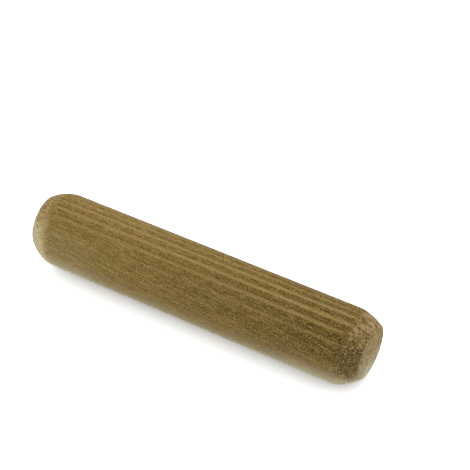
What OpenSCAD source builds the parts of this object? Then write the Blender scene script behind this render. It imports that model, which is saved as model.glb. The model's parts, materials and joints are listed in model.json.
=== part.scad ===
// Fluted hardwood dowel pin: a turned rod with straight flutes pressed into its
// side and a rounded nose at each end, left in one piece.
// It lies along X with its centre over the origin, and rests on the plane z = 0
// on the two lands that stand beside its lowest flute.

/* [Rod] */
// Diameter across the lands, the bands left between the flutes
pin_d = 7.94; // [7:0.01:10]
// Length from one end face to the other
pin_l = 38.1; // [20:0.1:60]

/* [Rounded ends] */
// Length of the rounded nose at each end
nose_l = 2.7; // [2:0.1:5]
// How far the nose would narrow in radius by the end face, were its rim left sharp
nose_in = 1.03; // [0.4:0.01:1.8]
// Rounding of the rim where the nose meets the end face
rim_r = 0.3; // [0.1:0.05:0.8]

/* [Flutes] */
// Number of flutes around the rod
flute_count = 21; // [9:1:24]
// Width of a flute across its mouth
flute_w = 0.58; // [0.3:0.01:0.7]
// Depth of a flute below the lands
flute_depth = 0.15; // [0.05:0.01:0.25]

/* [Hidden] */
$fn = 96;

pin_r = pin_d / 2;
barrel_l = pin_l - 2 * nose_l;

// The nose is an arc that leaves the barrel along its side and runs to the end face
nose_r = (nose_l * nose_l + nose_in * nose_in) / (2 * nose_in);
nose_x = pin_r - nose_r;
nose_y = barrel_l / 2;

// The rim is a smaller arc that touches the nose's arc from inside, and the end face
rim_dy = nose_l - rim_r;
rim_dx = sqrt(pow(nose_r - rim_r, 2) - rim_dy * rim_dy);
rim_start_dy = rim_dy * nose_r / (nose_r - rim_r);

// A flute is the arc through the two edges of its mouth and its deepest line
flute_pitch = 360 / flute_count;
flute_half_angle = asin(flute_w / pin_d);
root_r = pin_r - flute_depth;
mouth_z = pin_r * cos(flute_half_angle);
flute_r = (pow(flute_w / 2, 2) + pow(mouth_z - root_r, 2)) / (2 * (mouth_z - root_r));
flute_overrun = 1;

// The lowest flute faces the ground, so the edges of its mouth carry the rod
axis_z = mouth_z;

wood = "#8c7444";

// One half of the rod's section, with the rod's axis along Y
module half_section() {
    translate([0, -barrel_l / 2])
        square([pin_r, barrel_l]);
    for (end = [0, 1])
        mirror([0, end])
            nose_section();
}

// The part of the section that lies beyond the barrel's end
module nose_section() {
    intersection() {
        translate([0, nose_y])
            square([pin_d, rim_start_dy]);
        translate([nose_x, nose_y])
            circle(r = nose_r);
    }
    translate([0, nose_y])
        square([nose_x + rim_dx, nose_l]);
    translate([nose_x + rim_dx, nose_y + rim_dy])
        circle(r = rim_r);
}

module turned_rod() {
    rotate([0, 90, 0])
        rotate_extrude()
            half_section();
}

// What presses one flute: a round bar along X, below the rod
module flute_bar() {
    translate([0, 0, -(root_r + flute_r)])
        rotate([0, 90, 0])
            cylinder(r = flute_r, h = pin_l + 2 * flute_overrun, center = true);
}

module flutes() {
    for (i = [0 : flute_count - 1])
        rotate([i * flute_pitch, 0, 0])
            flute_bar();
}

module dowel_pin() {
    color(wood)
        translate([0, 0, axis_z])
            difference() {
                turned_rod();
                flutes();
            }
}

dowel_pin();
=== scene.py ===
"""Dresses the fluted dowel pin: worn hardwood with pressed flutes, on a pale floor."""

import json
import math
from typing import NamedTuple

import bpy
import numpy as np
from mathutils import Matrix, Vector


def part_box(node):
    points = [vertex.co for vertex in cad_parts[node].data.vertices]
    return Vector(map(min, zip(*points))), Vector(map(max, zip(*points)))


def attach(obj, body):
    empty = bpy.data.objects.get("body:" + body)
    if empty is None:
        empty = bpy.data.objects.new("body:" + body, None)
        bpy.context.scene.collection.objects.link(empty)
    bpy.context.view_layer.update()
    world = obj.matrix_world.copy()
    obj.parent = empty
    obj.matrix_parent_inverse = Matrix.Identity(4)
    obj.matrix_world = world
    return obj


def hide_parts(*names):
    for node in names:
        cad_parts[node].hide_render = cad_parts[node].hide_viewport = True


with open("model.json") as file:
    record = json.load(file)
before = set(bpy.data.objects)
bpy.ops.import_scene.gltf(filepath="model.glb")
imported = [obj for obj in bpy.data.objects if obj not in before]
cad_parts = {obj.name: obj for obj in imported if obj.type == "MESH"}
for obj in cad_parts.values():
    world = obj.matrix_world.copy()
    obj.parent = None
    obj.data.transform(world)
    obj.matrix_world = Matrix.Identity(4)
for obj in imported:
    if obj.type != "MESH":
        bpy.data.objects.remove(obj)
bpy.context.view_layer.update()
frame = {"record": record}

bl_info = {
    "name": "Dowel Pin Dresser",
    "version": (1, 0, 0),
    "blender": (4, 5, 0),
    "location": "View3D > Sidebar > Dowel",
    "description": "Shapes and finishes a fluted hardwood dowel pin and sets it on a pale floor",
    "category": "Object",
}

MM = 0.001
PIN_NODE = "dowel_pin"
PIN_BODY = "root"
PIN_PIECE = "dowel_pin_wood"


def linear(hex_colour):
    """Turns an sRGB hex colour into the linear values that shaders take."""
    parts = [int(hex_colour[i : i + 2], 16) / 255 for i in (1, 3, 5)]
    return tuple(p / 12.92 if p <= 0.04045 else ((p + 0.055) / 1.055) ** 2.4 for p in parts)


def colour_property(name, description, hex_colour):
    """A colour picker whose default is written as sRGB hex."""
    return bpy.props.FloatVectorProperty(
        name=name,
        description=description,
        subtype="COLOR",
        size=3,
        min=0,
        max=1,
        default=linear(hex_colour),
    )


def size_property(name, description, size_in_mm):
    """A length whose default is written in millimetres and kept in metres."""
    return bpy.props.FloatProperty(
        name=name,
        description=description,
        subtype="DISTANCE",
        unit="LENGTH",
        precision=5,
        min=0,
        default=size_in_mm * MM,
    )


# ---------------------------------------------------------------- what a user may change


class DowelForm(bpy.types.PropertyGroup):
    """The pin's own sizes, beyond those that the frame gives."""

    nose_in: size_property("Nose narrowing", "How far a nose narrows in radius by its end face", 1.03)
    rim_r: size_property("Rim rounding", "Rounding where a nose meets its end face", 0.3)
    flute_w: size_property("Flute width", "Width of a flute across its mouth", 0.58)
    flute_depth: size_property("Flute depth", "Depth of a flute below the lands", 0.15)
    shoulder: size_property("Shoulder wear", "Rounding of the edges between lands and flutes", 0.05)
    flute_count: bpy.props.IntProperty(
        name="Flutes", description="Number of flutes around the pin", min=3, default=21
    )


class WoodLook(bpy.types.PropertyGroup):
    """Colours of the wood, of what has soiled it, and of the light painted on it."""

    heart: colour_property("Heartwood", "Main colour of the wood", "#93783a")
    late: colour_property("Latewood", "Darker lines of the growth rings", "#765d2c")
    warm: colour_property("Warm patches", "Reddish patches in the wood", "#8f6238")
    damp: colour_property("Damp patches", "Greenish patches left by damp", "#827436")
    pore: colour_property("Pores", "Open pores and ray flecks", "#3e2c14")
    crest: colour_property("Light fibres", "Paler fibres and ray flecks", "#b79f5a")
    blush: colour_property("Blushed fibres", "Paler fibres with a pink cast", "#ba996c")
    # Pale rubbed flutes; the pale colour is partly a painted highlight along them
    rubbed_and_highlight: colour_property("Rubbed wood", "Rubbed edges along the flutes", "#bb9f67")
    end: colour_property("End grain", "Cut ends of the fibres", "#d4bc84")
    dirt: colour_property("Smudge", "Grey smudge on the near nose", "#382f22")
    # Pale wood on the noses; on the far nose's low front it is partly painted bounce light from the
    # floor
    bare_and_bounce: colour_property("Bare wood", "Pale fresh wood on the far nose", "#f0d6a3")
    # Painted bounce light: the underside and the far nose's low front are painted paler, as the white
    # floor would light them
    painted_bounce: colour_property("Dust", "Pale dust on the belly and the far nose", "#dcd2b0")
    grime: colour_property("Grime", "Grime on the lands towards the near end", "#533b13")


class StageLook(bpy.types.PropertyGroup):
    """The floor and the light."""

    floor: colour_property("Floor", "Colour of the floor", "#f0f4fd")
    sky: bpy.props.FloatProperty(name="Sky", description="Light from all round", min=0, default=0.8)
    lamp: bpy.props.FloatProperty(
        name="Lamp", description="Power of the soft lamp", unit="POWER", min=0, default=0.2
    )


# ---------------------------------------------------------------- small helpers

# The Mix node's sockets by number: the share of B, then A, B and the result for each kind of mix
MIX_SHARE = 0
NUMBER_A = 2
NUMBER_B = 3
MIXED_NUMBER = 0
COLOUR_A = 6
COLOUR_B = 7
MIXED_COLOUR = 2


def add_node(tree, kind, inputs=None, **settings):
    """Adds a node with its settings; each input takes a value or the output that feeds it."""
    made = tree.nodes.new(kind)
    for name, value in settings.items():
        setattr(made, name, value)
    for socket, value in (inputs or {}).items():
        if isinstance(value, bpy.types.NodeSocket):
            tree.links.new(value, made.inputs[socket])
        else:
            made.inputs[socket].default_value = value
    return made


class Unevenness:
    """Smooth noise that repeats exactly for the same seed."""

    CELLS = 32

    def __init__(self, seed):
        self.values = np.random.default_rng(seed).uniform(-1, 1, (self.CELLS,) * 3)

    def at(self, *place):
        """Values between -1 and 1 at places counted in cells along three axes."""
        place = np.broadcast_arrays(*place)
        corner = [np.floor(c).astype(int) for c in place]
        part = [c - k for c, k in zip(place, corner)]
        part = [t * t * (3 - 2 * t) for t in part]
        total = np.zeros(place[0].shape)
        for step in np.ndindex(2, 2, 2):
            weight = np.ones(place[0].shape)
            for t, s in zip(part, step):
                weight = weight * (t if s else 1 - t)
            cell = tuple((k + s) % self.CELLS for k, s in zip(corner, step))
            total += weight * self.values[cell]
        return total


def rise(value, low, high):
    """0 below low, 1 above high and a smooth step between them."""
    t = np.clip((value - low) / (high - low), 0, 1)
    return t * t * (3 - 2 * t)


# ---------------------------------------------------------------- the pin's shape, in mm

AROUND = 420
BARREL_STEPS = 150
NOSE_STEPS = 20
RIM_STEPS = 4
FACE_STEPS = 13

# Seeds of the chance in the pin's shape and wear, so that it comes out the same each time
SWAY_SEED = 11
SWELL_SEED = 12
BITE_SEED = 13
DENT_SEED = 21
PATCH_SEED = 22


class Bite(NamedTuple):
    """How the die bit into one flute: degrees off an even spacing, and its share of the depth."""

    drift: float
    depth: float


# Flutes counted from the lowest one; those not listed get chance values
FLUTE_BITES = {
    9: Bite(6.0, 0.75),
    10: Bite(3.0, 1.0),
    11: Bite(0.8, 1.05),
    12: Bite(-0.7, 0.82),
    13: Bite(0.6, 0.65),
    14: Bite(1.0, 0.3),
    15: Bite(2.5, 0.35),
    16: Bite(0.5, 0.3),
    17: Bite(1.0, 0.4),
}

# A chance bite drifts by up to a degree; this is its share of the depth, and how far that varies
CHANCE_DEPTH = 0.85
CHANCE_DEPTH_SPREAD = 0.15


class Waver(NamedTuple):
    """How a flute wavers: by how much, over how many mm, and where in the noise each flute reads."""

    amount: float
    length: float
    apart: float
    lane: float

    def at(self, noise, x, flute):
        """What the noise says along a flute, from -1 to 1."""
        return noise.at(x / self.length, flute * self.apart, self.lane)


# The sway is in mm to the side, and the others are shares of a flute's depth and width
FLUTE_SWAY = Waver(0.02, 4.0, 3.7, 0.5)
DEPTH_SWELL = Waver(0.2, 7.0, 5.3, 0.5)
WIDTH_SWELL = Waver(0.12, 5.0, 2.9, 9.5)

# A flute reaches less than this far, in radians, to either side of its middle
FLUTE_LIMIT = 0.5


class Grind(NamedTuple):
    """How a nose was ground off true: mm at its end face, towards the back, up and inwards."""

    back: float
    up: float
    narrower: float


FAR_GRIND = Grind(0.13, 0.14, 0.0)
NEAR_GRIND = Grind(0.55, -0.20, 0.15)


class Dents(NamedTuple):
    """Small dents: their middling depth, and their size along the pin and across it, in mm."""

    depth: float
    along: float
    across: float

    def at(self, noise, x, y, z):
        """How deep the dents are at each point, from 0 to 2 times their depth."""
        return 1 + noise.at(x / self.along, y / self.across, z / self.across)


BARREL_DENTS = Dents(0.006, 1.1, 0.35)
NOSE_PITS = Dents(0.012, 0.3, 0.22)
NOSE_KNOCKS = Dents(0.03, 1.3, 0.9)

# How far beyond the barrel's end, in mm, a nose's cut fibres begin to show, and show fully
NOSE_BEGINS = 0.6
NEAR_NOSE_FULL = 1.4
FAR_NOSE_FULL = 2.1

# Everything lies at least this far, in mm, inside the true pin
SKIN = 0.002

# How far, in mm, the middle of an end face is sunk in
FACE_DISH = 5 * SKIN


class PinShape:
    """Works out the pin's surface from the frame and the panel's sizes."""

    def __init__(self, form):
        mount = next(m for m in frame["record"]["mounts"] if m["name"] == "barrel")
        low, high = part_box(PIN_NODE)
        self.radius = mount["dims"]["r_mm"]
        self.half_barrel = mount["dims"]["length_mm"] / 2
        self.half = (high.x - low.x) / 2 / MM
        self.axis_z = mount["pos_m"][2] / MM
        self.nose_l = self.half - self.half_barrel
        self.nose_in = form.nose_in / MM
        self.rim_r = form.rim_r / MM
        self.flute_w = form.flute_w / MM
        self.flute_depth = form.flute_depth / MM
        self.shoulder = form.shoulder / MM
        self.flutes = form.flute_count
        self.nose_r = (self.nose_l**2 + self.nose_in**2) / (2 * self.nose_in)
        self.nose_c = self.radius - self.nose_r
        self.rim_x = self.nose_l - self.rim_r
        self.rim_c = self.nose_c + math.sqrt((self.nose_r - self.rim_r) ** 2 - self.rim_x**2)

    def profile(self):
        """Rows from one end face to the other: along, radius, and the outward direction in both."""
        end = []
        rim_start = math.asin(self.rim_x / (self.nose_r - self.rim_r))
        arcs = (
            (0, rim_start, NOSE_STEPS, 0, self.nose_c, self.nose_r),
            (rim_start, math.pi / 2, RIM_STEPS, self.rim_x, self.rim_c, self.rim_r),
        )
        for start, stop, steps, centre_x, centre_r, arc_r in arcs:
            for a in np.linspace(start, stop, steps + 1)[1:]:
                out_x, out_r = math.sin(a), math.cos(a)
                end.append((centre_x + arc_r * out_x, centre_r + arc_r * out_r, out_x, out_r))
        for r in np.linspace(self.rim_c, 0, FACE_STEPS + 1)[1:-1]:
            end.append((self.nose_l, r, 1.0, 0.0))
        end = [(self.half_barrel + x, r, out_x, out_r) for x, r, out_x, out_r in end]
        middle = np.linspace(-self.half_barrel, self.half_barrel, BARREL_STEPS + 1)
        barrel = [(x, self.radius, 0.0, 1.0) for x in middle]
        start = [(-x, r, -out_x, out_r) for x, r, out_x, out_r in reversed(end)]
        return np.array(start + barrel + end)

    def flute_floor(self, turn, mouth, depth):
        """Distance of a flute's floor from the axis, turn radians round from its middle."""
        root = self.radius - depth
        lip = self.radius * np.cos(mouth / 2 / self.radius) - root
        bar = ((mouth / 2) ** 2 + lip**2) / (2 * lip)
        centre = root + bar
        inside = bar**2 - (centre * np.sin(turn)) ** 2
        floor = centre * np.cos(turn) - np.sqrt(np.maximum(inside, 0))
        return np.where((inside > 0) & (np.abs(turn) < FLUTE_LIMIT), floor, self.radius * 2)

    def fluted(self, x, angle, turned):
        """Radius after the flutes are pressed in, and how deep in a flute each point lies, 0 to 1."""
        lowest = np.full(x.shape, self.radius * 2)
        sway = Unevenness(SWAY_SEED)
        swell = Unevenness(SWELL_SEED)
        luck = np.random.default_rng(BITE_SEED).uniform(-1, 1, (self.flutes, 2))
        for i in range(self.flutes):
            chance = Bite(luck[i, 0], CHANCE_DEPTH + CHANCE_DEPTH_SPREAD * luck[i, 1])
            bite = FLUTE_BITES.get(i, chance)
            middle = 2 * math.pi * i / self.flutes + math.radians(bite.drift)
            middle = middle + FLUTE_SWAY.amount / self.radius * FLUTE_SWAY.at(sway, x, i)
            turn = (angle - middle + math.pi) % (2 * math.pi) - math.pi
            deeper = 1 + DEPTH_SWELL.amount * DEPTH_SWELL.at(swell, x, i)
            wider = 1 + WIDTH_SWELL.amount * WIDTH_SWELL.at(swell, x, i)
            depth = self.flute_depth * bite.depth * deeper
            mouth = self.flute_w * bite.depth**0.5 * wider
            lowest = np.minimum(lowest, self.flute_floor(turn, mouth, depth))
        overlap = np.maximum(self.shoulder - np.abs(turned - lowest), 0)
        radius = np.minimum(turned, lowest) - overlap**2 / (4 * self.shoulder)
        return radius, np.clip((turned - lowest) / self.flute_depth, 0, 1)

    def nose_share(self, x):
        """0 on the barrel, 1 on the noses."""
        full = np.where(x > 0, NEAR_NOSE_FULL, FAR_NOSE_FULL)
        return rise(np.abs(x), self.half_barrel + NOSE_BEGINS, self.half_barrel + full)

    def dents(self, x, y, z):
        """How far, in mm, wear has eaten into each point: a little on the barrel, more on the noses."""
        rough = Unevenness(DENT_SEED)
        nose = self.nose_share(x)
        dent = SKIN + BARREL_DENTS.depth * BARREL_DENTS.at(rough, x, y, z)
        dent += nose * NOSE_PITS.depth * NOSE_PITS.at(rough, x, y, z)
        dent += nose * NOSE_KNOCKS.depth * NOSE_KNOCKS.at(rough, x, y, z)
        return dent

    def grind(self, x):
        """How far, in mm, grinding has moved the nose at x: back, up and inwards."""
        into_nose = np.clip((np.abs(x) - self.half_barrel) / self.nose_l, 0, 1)
        return [into_nose**2 * np.where(x > 0, near, far) for near, far in zip(NEAR_GRIND, FAR_GRIND)]


# ---------------------------------------------------------------- wear, dirt and painted light on the pin

# Along the pin, places are in mm from its middle: towards its far end where the name says FAR, towards
# both ends for BOUNCE_LOW, and otherwise towards its near end. Around it, they are in degrees from its
# top towards its front. Two numbers say where something begins and where it is full, and in a name with
# FACING they are cosines of the turn away from a side.


class Band(NamedTuple):
    """A band with soft edges: where it begins, is full, starts to fade and has gone."""

    begins: float
    full: float
    fades: float
    gone: float

    def at(self, place):
        """1 in the band and 0 beyond its edges."""
        return rise(place, self.begins, self.full) - rise(place, self.fades, self.gone)


class FarMark(NamedTuple):
    """Where a mark on the far nose begins and is full, and how much sooner each is at the front."""

    begins: float
    begins_sooner: float
    full: float
    full_sooner: float

    def at(self, far, front, edge):
        """0 before the mark begins and 1 where it is full; edge moves its beginning."""
        begins = self.begins - self.begins_sooner * front + edge
        return rise(far, begins, self.full - self.full_sooner * front)


# Bands around the pin
CROWN = Band(-70, -40, -4, 8)
UPPER_FRONT = Band(-15, 15, 20, 45)
LOWER_FRONT = Band(28, 34, 55, 80)
RUBBED_BACK = Band(-90, -50, -12, 12)
FAR_FRONT = Band(56, 80, 130, 170)

# How far in from the pin's end, in mm, the finish of its end face begins and is full
FACE_BEGINS = 0.14
FACE_FULL = 0.03

# The side, at the front and a little low, that the painted bounce light on the ends faces
BOUNCE_SIDE = 100

# The smudge: its middle, its reach along and around, how ragged it is and in what size of patch,
# and where it ends and is full, as shares of its reach
SMUDGE_X = 18.4
SMUDGE_AROUND = 69
SMUDGE_REACH = 1.4
SMUDGE_REACH_AROUND = 47
SMUDGE_RAGGED = 0.45
SMUDGE_PATCH = 0.22
SMUDGE_ENDS = 1.2
SMUDGE_FULL = 0.6

# Grime: its share towards the near end, what the front adds to that, and its share elsewhere
GRIME_NEAR = 0.75
GRIME_NEAR_UPPER = 0.25
GRIME_NEAR_LOWER = 0.3
GRIME_UPPER = 0.2
GRIME_CROWN = 0.18
GRIME_END_LOWER = 0.25
GRIME_RUN = (-13, 16)
GRIME_END = (11, 15)

# Painted bounce light on the underside, paler lower down as the white floor would light it: how far
# above the axis it begins, in mm, and how much further up it does towards the near end, though less so
# on its nose
BOUNCE_ABOVE = 1.28
BOUNCE_ABOVE_NEAR = 0.4
BOUNCE_LESS_NOSE = 0.15
BOUNCE_NEAR = (4, 14)

# The height over which it grows stronger downwards, in mm, and how late it does
BOUNCE_HEIGHT = 3.6
BOUNCE_POWER = 2.5

# How much less of it there is at the back, counted in mm behind the axis, on the smudge, and on the
# lands that the pin rests on
BOUNCE_OFF_BACK = 0.6
BOUNCE_BACK = (0, 2.5)
BOUNCE_OFF_SMUDGE = 0.9
BOUNCE_OFF_REST = 0.6
BOUNCE_REST = (134, 156)

# More painted bounce light on the far end's low front, and on the low side by both ends
BOUNCE_FAR = 0.09
BOUNCE_FAR_RUN = (8, 14)
BOUNCE_FAR_FACING = (0.5, 0.7)
BOUNCE_LOW = 0.13
BOUNCE_LOW_SIDE = 112
BOUNCE_LOW_RUN = (9, 14)
BOUNCE_LOW_FACING = (0.9, 0.99)

# On the far nose: pale wood that is partly painted bounce light, and painted bounce light alone, with
# how far, in mm, their edge is ragged, in what patches
FAR_PALE_AND_BOUNCE = FarMark(16.5, 0.6, 17.7, 0.3)
FAR_PALE_AND_BOUNCE_FACING = (-0.1, 0.97)
FAR_PALE_AND_BOUNCE_POWER = 1.5
FAR_NOSE_BOUNCE = FarMark(17.0, 0.2, 18.8, 0.9)
FAR_NOSE_BOUNCE_FACING = (0.45, 0.93)
FAR_RAGGED = 0.6
FAR_PATCH = 0.5

# A little bare wood on both noses, more on their end faces, and some at the back of the near one
NOSE_BARE = 0.07
FACE_BARE = 1.4
BACK_BARE = 0.30
BACK_BARE_RUN = (17.0, 17.8)

# Rubbed flutes, whose pale colour is partly a painted highlight along them: how deep in a flute it
# begins and is full, and how much less shows by the near end
RUBBED_HIGHLIGHT_DEPTH = (0.35, 1.0)
RUBBED_HIGHLIGHT_LESS = 0.2
RUBBED_HIGHLIGHT_RUN = (10, 16)

# How much of the cut ends the painted bounce light and the smudge hide, and how plainly they show on
# each nose and face
CUT_OFF_BOUNCE = 0.7
CUT_OFF_SMUDGE = 0.4
CUT_OFF_FAR_FACE = 0.35
CUT_NEAR = 0.78
CUT_NEAR_FACE = 0.16


class PinWearAndLight:
    """Works out how worn and soiled each point of the pin is, and how much painted light it takes."""

    def __init__(self, shape, x, y, z, angle, flute):
        self.x = x
        self.y = y
        self.z = z
        self.flute = flute
        self.below_axis = shape.axis_z - z
        self.around = np.degrees(angle) - 180
        self.nose = shape.nose_share(x)
        self.face = rise(np.abs(x), shape.half - FACE_BEGINS, shape.half - FACE_FULL)
        self.patchy = Unevenness(PATCH_SEED)
        # 1 where a point faces the side with the painted bounce light, -1 opposite, and 0 in the middle
        # of an end face
        from_middle = np.minimum(np.hypot(y, z - shape.axis_z) / shape.rim_c, 1)
        self.facing = np.cos(np.radians(self.around - BOUNCE_SIDE)) * from_middle
        self.smudge = self.smudge_mark()

    def patches(self, size):
        """Smooth patches of a size in mm, from -1 to 1."""
        return self.patchy.at(self.x / size, self.y / size, self.z / size)

    def smudge_mark(self):
        """Grey dirt on the near nose, at the front."""
        along = (self.x - SMUDGE_X) / SMUDGE_REACH
        off = np.hypot(along, (self.around - SMUDGE_AROUND) / SMUDGE_REACH_AROUND)
        off = off + SMUDGE_RAGGED * self.patches(SMUDGE_PATCH)
        return rise(-off, -SMUDGE_ENDS, -SMUDGE_FULL) * (1 - self.face)

    def grime_mark(self):
        """Grime on the lands."""
        upper = UPPER_FRONT.at(self.around)
        lower = LOWER_FRONT.at(self.around)
        near = GRIME_NEAR + GRIME_NEAR_UPPER * upper + GRIME_NEAR_LOWER * lower
        grime = near * rise(self.x, *GRIME_RUN) + GRIME_UPPER * upper
        grime = grime + GRIME_CROWN * CROWN.at(self.around)
        grime = grime + GRIME_END_LOWER * rise(self.x, *GRIME_END) * lower
        return grime * (1 - self.flute) * (1 - self.nose)

    def belly_bounce(self):
        """Painted bounce light on the underside and the low sides."""
        higher = BOUNCE_ABOVE_NEAR - BOUNCE_LESS_NOSE * self.nose
        above = BOUNCE_ABOVE + rise(self.x, *BOUNCE_NEAR) * higher
        below_share = np.clip((self.below_axis + above) / BOUNCE_HEIGHT, 0, 1) ** BOUNCE_POWER
        painted_bounce = below_share * (1 - BOUNCE_OFF_BACK * rise(self.y, *BOUNCE_BACK))
        painted_bounce = painted_bounce + BOUNCE_FAR * rise(-self.x, *BOUNCE_FAR_RUN) * rise(self.facing, *BOUNCE_FAR_FACING)
        low_side = rise(np.cos(np.radians(self.around - BOUNCE_LOW_SIDE)), *BOUNCE_LOW_FACING)
        by_ends = rise(np.abs(self.x), *BOUNCE_LOW_RUN)
        painted_bounce = painted_bounce + BOUNCE_LOW * by_ends * low_side * (1 - self.face)
        rest = rise(np.abs(self.around), *BOUNCE_REST) * (1 - self.face)
        return painted_bounce * (1 - BOUNCE_OFF_SMUDGE * self.smudge) * (1 - BOUNCE_OFF_REST * rest)

    def far_mark(self, mark, facing):
        """A mark on the far nose, on its side with painted bounce light."""
        edge = FAR_RAGGED * self.patches(FAR_PATCH)
        front = FAR_FRONT.at(self.around)
        return mark.at(-self.x, front, edge), rise(self.facing, *facing)

    def bare_and_bounce_mark(self):
        """Fresh pale wood on the noses and at the back of the near one; on the far nose's low front it
        is partly painted bounce light.
        """
        reach, facing = self.far_mark(FAR_PALE_AND_BOUNCE, FAR_PALE_AND_BOUNCE_FACING)
        bare_and_bounce = reach * facing**FAR_PALE_AND_BOUNCE_POWER
        both = NOSE_BARE * self.nose * (1 - self.smudge) * (1 + FACE_BARE * self.face)
        back = BACK_BARE * rise(self.x, *BACK_BARE_RUN) * RUBBED_BACK.at(self.around)
        return np.maximum(np.maximum(bare_and_bounce, both), back * (1 - self.face))

    def painted_bounce_mark(self):
        """Painted bounce light under the pin and on the far nose."""
        reach, facing = self.far_mark(FAR_NOSE_BOUNCE, FAR_NOSE_BOUNCE_FACING)
        return np.maximum(self.belly_bounce(), reach * facing)

    def marks(self):
        """What the material reads at each point, from 0 to 1, by the name of its mark."""
        painted_bounce = self.painted_bounce_mark()
        cut = self.nose * (1 - CUT_OFF_BOUNCE * painted_bounce) * (1 - CUT_OFF_SMUDGE * self.smudge)
        far_cut = 1 - CUT_OFF_FAR_FACE * self.face
        near_cut = CUT_NEAR + CUT_NEAR_FACE * self.face
        # Of these, the pale underside is painted bounce light, the far nose's pale wood is partly
        # painted bounce light, and the pale flutes are partly a painted highlight
        return {
            "flute": rise(self.flute, *RUBBED_HIGHLIGHT_DEPTH) * (1 - RUBBED_HIGHLIGHT_LESS * rise(self.x, *RUBBED_HIGHLIGHT_RUN)),
            "nose": self.nose,
            "smudge": self.smudge,
            "grime": self.grime_mark(),
            "bare_and_bounce": self.bare_and_bounce_mark(),
            "painted_bounce": painted_bounce,
            "cut": cut * np.where(self.x < 0, far_cut, near_cut),
        }


# ---------------------------------------------------------------- the pin's mesh


def pin_faces(rows):
    """Quads between the rings of points, and a fan from each end's middle to its innermost ring."""
    row, column = np.meshgrid(np.arange(rows - 1), np.arange(AROUND), indexing="ij")
    beside = (column + 1) % AROUND
    here = row * AROUND
    ahead = here + AROUND
    quads = np.stack([here + column, here + beside, ahead + beside, ahead + column], -1)
    far_middle = rows * AROUND
    near_middle = far_middle + 1
    last_ring = far_middle - AROUND
    fans = []
    for j in range(AROUND):
        k = (j + 1) % AROUND
        fans.append((far_middle, k, j))
        fans.append((near_middle, last_ring + j, last_ring + k))
    return quads.reshape(-1, 4).tolist() + fans


def pin_mesh(shape):
    """The pin's mesh, with the marks that its material reads."""
    stations = shape.profile()
    angles = np.linspace(0, 2 * math.pi, AROUND, endpoint=False)
    x, angle = np.meshgrid(stations[:, 0], angles, indexing="ij")
    turned, out_x, out_r = (np.repeat(stations[:, i : i + 1], AROUND, 1) for i in (1, 2, 3))
    radius, flute = shape.fluted(x, angle, turned)
    dent = shape.dents(x, radius * np.sin(angle), radius * np.cos(angle))
    back, up, narrower = shape.grind(x)
    radius = radius * (1 - narrower / shape.rim_c) - dent * out_r
    y = back + radius * np.sin(angle)
    z = shape.axis_z + up - radius * np.cos(angle)
    marks = PinWearAndLight(shape, x, y, z, angle, flute).marks()
    points = np.stack([x - dent * out_x, y, z], -1).reshape(-1, 3)

    middles = []
    for side in (-1, 1):
        back, up, _ = shape.grind(np.array(side * shape.half))
        middles.append((side * (shape.half - FACE_DISH), back, shape.axis_z + up))

    mesh = bpy.data.meshes.new(PIN_PIECE)
    points = (np.vstack([points, middles]) * MM).tolist()
    mesh.from_pydata(points, [], pin_faces(len(stations)))
    for name, values in marks.items():
        # The middle of an end face takes the mark of its innermost ring
        values = np.append(values.reshape(-1), [values[0, 0], values[-1, 0]])
        mesh.attributes.new(name, "FLOAT", "POINT").data.foreach_set("value", values)
    mesh.shade_smooth()
    mesh.validate()
    return mesh


# ---------------------------------------------------------------- the wood

# The fibres don't run quite true to the pin: they fall and lean forwards towards its near end
FIBRE_RUN = Vector((1.0, -0.04, -0.10)).normalized()


class Figure(NamedTuple):
    """A cloudy pattern in the wood: sizes in mm, the noise where it starts and is full, its share."""

    seed: int
    colour: str
    along: float
    across: float
    start: float
    full: float
    strength: float


class Flecks(NamedTuple):
    """Scattered flecks: spacing in mm, the part of a cell to their edge and core, and their share."""

    seed: int
    colour: str
    along: float
    across: float
    edge: float
    core: float
    strength: float


# Growth rings, and the warm and damp patches that lie across them
RINGS = (
    Figure(1, "late", 14.0, 0.50, 0.42, 0.66, 0.34),
    Figure(2, "warm", 3.0, 1.20, 0.46, 0.56, 0.84),
    Figure(12, "damp", 3.5, 1.20, 0.46, 0.56, 0.64),
)
# A real fibre is about 0.02 mm across. These are drawn as coarse as they need to show
FIBRES = (
    Figure(3, "late", 7.0, 0.085, 0.44, 0.58, 0.60),
    Figure(4, "crest", 6.0, 0.08, 0.51, 0.64, 0.88),
    Figure(10, "late", 1.6, 0.08, 0.44, 0.60, 0.42),
    Figure(11, "blush", 1.4, 0.075, 0.50, 0.66, 0.52),
    Figure(15, "late", 3.0, 0.19, 0.44, 0.58, 0.40),
)
# The fuzz of torn fibres, also drawn coarser than it is, so that it shows
GRIT = (
    Figure(5, "pore", 0.12, 0.08, 0.48, 0.62, 0.48),
    Figure(6, "crest", 0.11, 0.08, 0.52, 0.64, 0.72),
)
# Open vessels and ray flecks, where the side cuts them along
PORES = (
    Flecks(7, "pore", 2.6, 0.12, 0.34, 0.16, 0.45),
    Flecks(8, "crest", 2.8, 0.12, 0.34, 0.16, 0.50),
)
# Longer than the pin, so what is this long runs right through a nose
THROUGH = 60.0
# Vessels and rays cut across: dots where the noses and end faces cut the fibres. Real ones are
# about 0.06 mm across. These are drawn about three times as coarse, so that they show
CUT_ENDS = (
    Flecks(9, "pore", THROUGH, 0.27, 0.48, 0.20, 0.88),
    Flecks(13, "end", THROUGH, 0.24, 0.46, 0.20, 0.66),
)
# Stains and pale patches in the cut ends, under the dirt
END_STAINS = (
    Flecks(14, "warm", THROUGH, 0.85, 0.62, 0.42, 0.72),
    Flecks(16, "end", THROUGH, 0.75, 0.60, 0.40, 0.24),
    Flecks(17, "pore", THROUGH, 0.65, 0.56, 0.36, 0.36),
)


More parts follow.
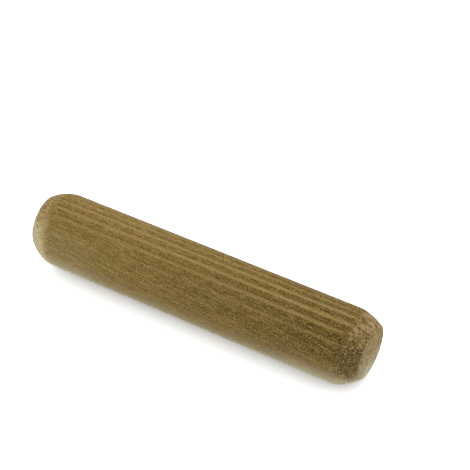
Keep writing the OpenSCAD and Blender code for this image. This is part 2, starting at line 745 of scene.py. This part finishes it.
class WearAndLight(NamedTuple):
    """What wear, dirt and painted light leave: its colour, its mark on the mesh, and its share where
    the mark is full.

    It takes less well on the pattern whose seed is missed; misses says how much less.
    """

    colour: str
    mark: str
    share: float
    missed: int
    misses: float


# Of these layers, the pale underside is painted bounce light, the far nose's pale wood is partly
# painted bounce light, and the pale flutes are partly a painted highlight
WEAR_AND_LIGHT = (
    WearAndLight("bare_and_bounce", "bare_and_bounce", 0.90, 14, 0.6),
    WearAndLight("grime", "grime", 0.72, 4, 0.7),
    WearAndLight("rubbed_and_highlight", "flute", 0.59, 3, 0.3),
    WearAndLight("dirt", "smudge", 0.80, 6, 0.6),
    WearAndLight("painted_bounce", "painted_bounce", 0.96, 4, 0.15),
)

# How far, in mm, pores and torn fibres lie below the surface
GRAIN_DEPTH = 0.02

# How softly the cloudy patterns are broken up
CLOUD_DETAIL = 1.5

# Bare wood is matt, and more so in its pores. Its rough fibres leave little of the gloss that its
# IOR would give
WOOD_ROUGHNESS = 0.62
PORE_ROUGHNESS = 0.9
WOOD_IOR = 1.5
WOOD_GLOSS = 0.05


def figure_amount(tree, fibre, figure):
    """How much of a figure's colour shows at each point."""
    size = (1 / figure.across, 1 / figure.across, 1 / figure.along)
    shift = {"Vector": fibre, "Location": (figure.seed,) * 3, "Scale": size}
    place = add_node(tree, "ShaderNodeMapping", shift).outputs["Vector"]
    cells = {"Vector": place, "Scale": 1.0, "Detail": CLOUD_DETAIL}
    cloud = add_node(tree, "ShaderNodeTexNoise", cells)
    level = {"Value": cloud.outputs["Fac"], "From Min": figure.start, "From Max": figure.full}
    return add_node(tree, "ShaderNodeMapRange", {**level, "To Max": figure.strength}).outputs["Result"]


def fleck_amount(tree, fibre, flecks):
    """How much of the flecks' colour shows at each point."""
    size = (1 / flecks.across, 1 / flecks.across, 1 / flecks.along)
    shift = {"Vector": fibre, "Location": (flecks.seed,) * 3, "Scale": size}
    place = add_node(tree, "ShaderNodeMapping", shift).outputs["Vector"]
    cell = add_node(tree, "ShaderNodeTexVoronoi", {"Vector": place, "Scale": 1.0})
    level = {"Value": cell.outputs["Distance"], "From Min": flecks.edge, "From Max": flecks.core}
    return add_node(tree, "ShaderNodeMapRange", {**level, "To Max": flecks.strength}).outputs["Result"]


def mark_amount(tree, mark, share):
    """How much of a mark's colour shows: its share where the mesh says that the mark is full."""
    found = add_node(tree, "ShaderNodeAttribute", attribute_name=mark).outputs["Fac"]
    return add_node(tree, "ShaderNodeMath", {0: found, 1: share}, operation="MULTIPLY").outputs[0]


def beech_material(look):
    """Beech, turned and pressed, left bare: matt, with fine pores and ray flecks along the fibres.

    Handling has rubbed its flutes pale, filled its pores and smudged one nose, so the eye sees fine
    lines along the pin, dots where a nose cuts the fibres, and hardly any gloss. The pale flutes are
    partly a painted highlight, and the underside and the far nose are painted paler, as bounce light
    from the white floor would light them.
    """
    material = bpy.data.materials.new("bare_beech")
    material.use_nodes = True
    tree = material.node_tree
    tree.nodes.clear()
    place = add_node(tree, "ShaderNodeTexCoord").outputs["Object"]
    turn = FIBRE_RUN.to_track_quat("Z", "X").to_matrix().inverted().to_euler()
    in_mm = {"Vector": place, "Rotation": turn, "Scale": (1 / MM, 1 / MM, 1 / MM)}
    fibre = add_node(tree, "ShaderNodeMapping", in_mm).outputs["Vector"]
    nose = mark_amount(tree, "nose", 1.0)
    cut = mark_amount(tree, "cut", 1.0)

    cuts = {}
    for flecks in END_STAINS + CUT_ENDS:
        ends = {0: fleck_amount(tree, fibre, flecks), 1: cut if flecks in CUT_ENDS else nose}
        cuts[flecks] = add_node(tree, "ShaderNodeMath", ends, operation="MULTIPLY").outputs[0]
    amounts = {figure: figure_amount(tree, fibre, figure) for figure in RINGS + FIBRES + GRIT}
    amounts |= {flecks: fleck_amount(tree, fibre, flecks) for flecks in PORES}
    by_seed = {pattern.seed: amount for pattern, amount in (amounts | cuts).items()}
    overlays = []
    for overlay in WEAR_AND_LIGHT:
        clear = {0: by_seed[overlay.missed], 1: -overlay.misses, 2: 1.0}
        clear = add_node(tree, "ShaderNodeMath", clear, operation="MULTIPLY_ADD").outputs[0]
        full = {0: mark_amount(tree, overlay.mark, overlay.share), 1: clear}
        amount = add_node(tree, "ShaderNodeMath", full, operation="MULTIPLY").outputs[0]
        overlays.append((overlay.colour, amount))
    layers = [("end", nose)]
    layers += [(pattern.colour, amount) for pattern, amount in amounts.items() if pattern not in GRIT]
    layers += [(flecks.colour, cuts[flecks]) for flecks in END_STAINS]
    layers += overlays
    layers += [(pattern.colour, amounts[pattern]) for pattern in GRIT]
    layers += [(flecks.colour, cuts[flecks]) for flecks in CUT_ENDS]
    colour = (*look.heart, 1)
    for name, amount in layers:
        over = {MIX_SHARE: amount, COLOUR_A: colour, COLOUR_B: (*getattr(look, name), 1)}
        colour = add_node(tree, "ShaderNodeMix", over, data_type="RGBA").outputs[MIXED_COLOUR]

    pits = {0: by_seed[GRIT[0].seed], 1: cuts[CUT_ENDS[0]]}
    hollow = add_node(tree, "ShaderNodeMath", pits, operation="MAXIMUM").outputs[0]
    grain = {"Height": hollow, "Strength": 1.0, "Distance": GRAIN_DEPTH * MM}
    normal = add_node(tree, "ShaderNodeBump", grain, invert=True).outputs["Normal"]
    matt = {"Value": hollow, "To Min": WOOD_ROUGHNESS, "To Max": PORE_ROUGHNESS}
    roughness = add_node(tree, "ShaderNodeMapRange", matt).outputs["Result"]
    surface = {
        "Base Color": colour,
        "Roughness": roughness,
        "Normal": normal,
        "IOR": WOOD_IOR,
        "Specular IOR Level": WOOD_GLOSS,
    }
    shader = add_node(tree, "ShaderNodeBsdfPrincipled", surface)
    add_node(tree, "ShaderNodeOutputMaterial", {"Surface": shader.outputs["BSDF"]})
    return material


class DOWEL_OT_shape_pin(bpy.types.Operator):
    """Shape the pin's wood and give it its finish"""

    bl_idname = "dowel.shape_pin"
    bl_label = "Shape the pin"

    def execute(self, context):
        shape = PinShape(context.scene.dowel_form)
        piece = bpy.data.objects.new(PIN_PIECE, pin_mesh(shape))
        context.scene.collection.objects.link(piece)
        piece.data.materials.append(beech_material(context.scene.dowel_wood))
        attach(piece, PIN_BODY)
        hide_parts(PIN_NODE)
        return {"FINISHED"}


# ---------------------------------------------------------------- the stage

# Half the floor's width, in metres
FLOOR_HALF = 1.5

# The camera looks at a point near the pin's middle: angles, then lengths in mm
VIEW_AZIMUTH = math.radians(29.8)
VIEW_ELEVATION = math.radians(43.25)
VIEW_DISTANCE = 149.2
VIEW_LENS = 108.1
VIEW_AIM = (-0.7, 8.25, 3.96)

# The nearest that the camera sees, in metres
VIEW_CLIP = 0.01

# How much brighter the floor is to the camera and in reflections than it is to the pin
FLOOR_LIFT = 2.19

# The sky looks white at this strength
SKY_SEEN = 1.0

# In metres: the lamp hangs behind the pin and beyond its far end, and faces it
LAMP_PLACE = (-0.14, 0.14, 0.16)
LAMP_SIZE = 0.16


def background_rays(tree):
    """1 for the rays that see the background itself: the camera's, and those in gloss and glass."""
    ray = add_node(tree, "ShaderNodeLightPath")
    seen = ray.outputs["Is Camera Ray"]
    for kind in ("Is Glossy Ray", "Is Transmission Ray"):
        either = {0: seen, 1: ray.outputs[kind]}
        seen = add_node(tree, "ShaderNodeMath", either, operation="MAXIMUM").outputs[0]
    return seen


def backdrop_paper(look):
    """Uncoated white paper, pressed smooth: matt, so it takes a soft shadow and has no gloss."""
    material = bpy.data.materials.new("matt_paper")
    material.use_nodes = True
    tree = material.node_tree
    tree.nodes.clear()
    lifted = tuple(c * FLOOR_LIFT for c in look.floor)
    tones = {MIX_SHARE: background_rays(tree), COLOUR_A: (*look.floor, 1), COLOUR_B: (*lifted, 1)}
    tone = add_node(tree, "ShaderNodeMix", tones, data_type="RGBA", clamp_result=False)
    shader = add_node(tree, "ShaderNodeBsdfDiffuse", {"Color": tone.outputs[MIXED_COLOUR]})
    add_node(tree, "ShaderNodeOutputMaterial", {"Surface": shader.outputs["BSDF"]})
    return material


class DOWEL_OT_set_stage(bpy.types.Operator):
    """Lay the floor, hang the lamp and set up the camera"""

    bl_idname = "dowel.set_stage"
    bl_label = "Set the stage"

    def execute(self, context):
        scene = context.scene
        look = scene.dowel_stage
        self.lay_floor(scene, look)
        self.light(scene, look)
        self.aim_camera(scene)
        scene.view_settings.view_transform = "Standard"
        return {"FINISHED"}

    def lay_floor(self, scene, look):
        mesh = bpy.data.meshes.new("floor")
        corners = [(-1, -1), (1, -1), (1, 1), (-1, 1)]
        mesh.from_pydata([(x * FLOOR_HALF, y * FLOOR_HALF, 0) for x, y in corners], [], [(0, 1, 2, 3)])
        floor = bpy.data.objects.new("floor", mesh)
        floor.data.materials.append(backdrop_paper(look))
        scene.collection.objects.link(floor)

    def light(self, scene, look):
        world = bpy.data.worlds.new("white_tent")
        scene.world = world
        world.use_nodes = True
        tree = world.node_tree
        tree.nodes.clear()
        levels = {MIX_SHARE: background_rays(tree), NUMBER_A: look.sky, NUMBER_B: SKY_SEEN}
        strength = add_node(tree, "ShaderNodeMix", levels, data_type="FLOAT").outputs[MIXED_NUMBER]
        white = add_node(tree, "ShaderNodeBackground", {"Color": (1, 1, 1, 1), "Strength": strength})
        add_node(tree, "ShaderNodeOutputWorld", {"Surface": white.outputs[0]})
        lamp = bpy.data.lights.new("soft_lamp", "AREA")
        lamp.energy = look.lamp
        lamp.size = LAMP_SIZE
        hung = bpy.data.objects.new("soft_lamp", lamp)
        hung.location = LAMP_PLACE
        hung.rotation_euler = (-hung.location).to_track_quat("-Z", "Y").to_euler()
        scene.collection.objects.link(hung)

    def aim_camera(self, scene):
        lens = bpy.data.cameras.new("camera")
        lens.lens = VIEW_LENS
        lens.clip_start = VIEW_CLIP
        camera = bpy.data.objects.new("camera", lens)
        level = math.cos(VIEW_ELEVATION)
        ahead = Vector(
            (-math.sin(VIEW_AZIMUTH) * level, math.cos(VIEW_AZIMUTH) * level, -math.sin(VIEW_ELEVATION))
        )
        camera.location = (Vector(VIEW_AIM) - ahead * VIEW_DISTANCE) * MM
        camera.rotation_euler = ahead.to_track_quat("-Z", "Y").to_euler()
        scene.collection.objects.link(camera)
        scene.camera = camera


# ---------------------------------------------------------------- the panel and the run


class DOWEL_PT_sidebar(bpy.types.Panel):
    """Lists the sizes and colours, and the steps that use them"""

    bl_idname = "DOWEL_PT_sidebar"
    bl_label = "Dowel pin"
    bl_space_type = "VIEW_3D"
    bl_region_type = "UI"
    bl_category = "Dowel"

    def draw(self, context):
        layout = self.layout
        scene = context.scene
        steps = (
            (scene.dowel_form, None),
            (scene.dowel_wood, DOWEL_OT_shape_pin),
            (scene.dowel_stage, DOWEL_OT_set_stage),
        )
        for group, step in steps:
            box = layout.box()
            for name in group.bl_rna.properties.keys():
                if name not in {"rna_type", "name"}:
                    box.prop(group, name)
            if step:
                box.operator(step.bl_idname)


CLASSES = (DowelForm, WoodLook, StageLook, DOWEL_OT_shape_pin, DOWEL_OT_set_stage, DOWEL_PT_sidebar)
GROUPS = {"dowel_form": DowelForm, "dowel_wood": WoodLook, "dowel_stage": StageLook}


def register():
    for item in CLASSES:
        bpy.utils.register_class(item)
    for name, group in GROUPS.items():
        setattr(bpy.types.Scene, name, bpy.props.PointerProperty(type=group))


def unregister():
    for name in GROUPS:
        delattr(bpy.types.Scene, name)
    for item in reversed(CLASSES):
        bpy.utils.unregister_class(item)


def main():
    register()
    bpy.ops.dowel.shape_pin()
    bpy.ops.dowel.set_stage()


if __name__ == "__main__":
    main()
